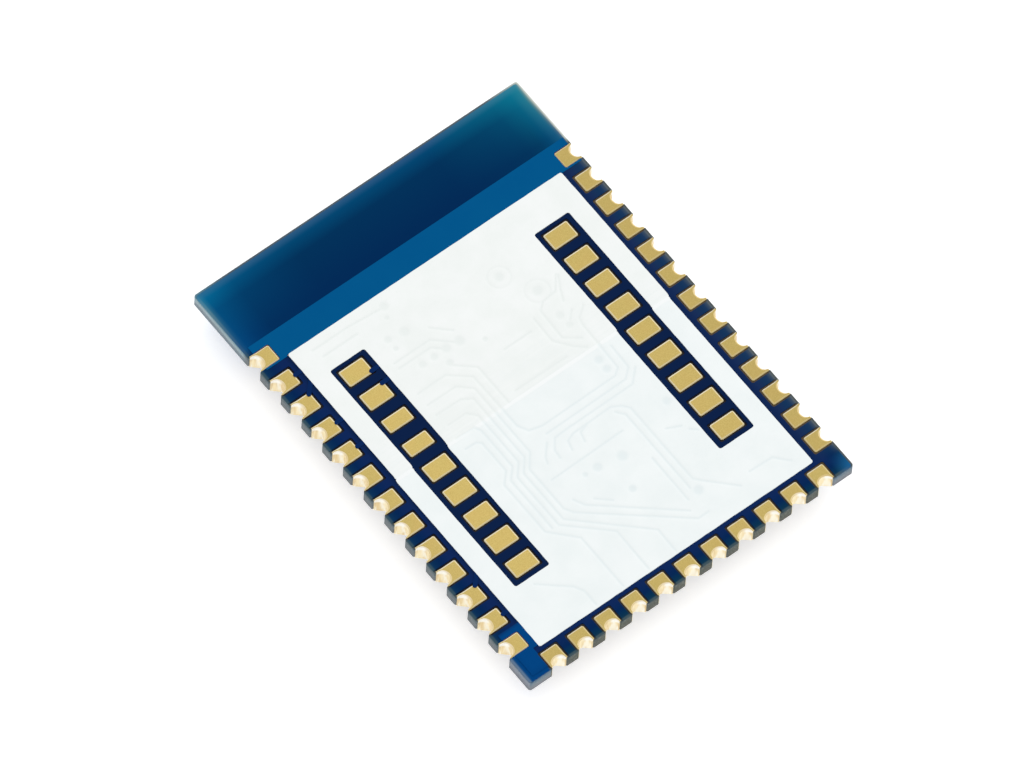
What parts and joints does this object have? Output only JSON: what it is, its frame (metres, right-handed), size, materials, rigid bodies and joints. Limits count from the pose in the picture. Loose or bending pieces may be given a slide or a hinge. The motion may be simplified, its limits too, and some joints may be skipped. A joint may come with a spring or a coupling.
{
  "type": "bluetooth module",
  "caption": "Flat rectangular wireless module with plated half-hole pads on three edges, inner solder pads, a printed antenna and a folded metal shield.",
  "frame": {"origin": "on the flat face of the shield that the module lies on, under the middle of the board", "axes": "+X across the board, +Y along the board towards the antenna end, +Z out of the solder-pad side"},
  "size_m": [0.0174, 0.0232, 0.002],
  "materials": {
    "laminate": "matte glass-epoxy",
    "copper": "bare copper foil",
    "gold_pads": "satin gold plating",
    "mask": "glossy blue solder mask",
    "legend": "white ink",
    "shield": "satin plated sheet",
    "solder": "bright solder",
    "chip": "moulded epoxy",
    "crystal_base": "fired ceramic",
    "crystal_lid": "satin metal",
    "capacitor": "fired ceramic",
    "inductor": "ferrite",
    "terminal": "tinned metal"
  },
  "bodies": {
    "root": {"laminate": "laminate", "ground_copper": "copper", "component_copper": "copper", "antenna_trace": "copper", "castellations_left": "gold_pads", "castellations_right": "gold_pads", "castellations_end": "gold_pads", "inner_pads_left": "gold_pads", "inner_pads_right": "gold_pads", "solder_mask_pad_side": "mask", "solder_mask_component_side": "mask", "legend_ink": "legend", "shield_can": "shield", "shield_solder": "solder", "radio_chip": "chip", "radio_chip_contacts": "solder", "main_crystal_base": "crystal_base", "main_crystal_lid": "crystal_lid", "sleep_crystal_base": "crystal_base", "sleep_crystal_lid": "crystal_lid", "capacitor_bodies": "capacitor", "capacitor_terminals": "terminal", "inductor_bodies": "inductor", "inductor_terminals": "terminal", "component_joints": "solder"}
  },
  "joints": []
}
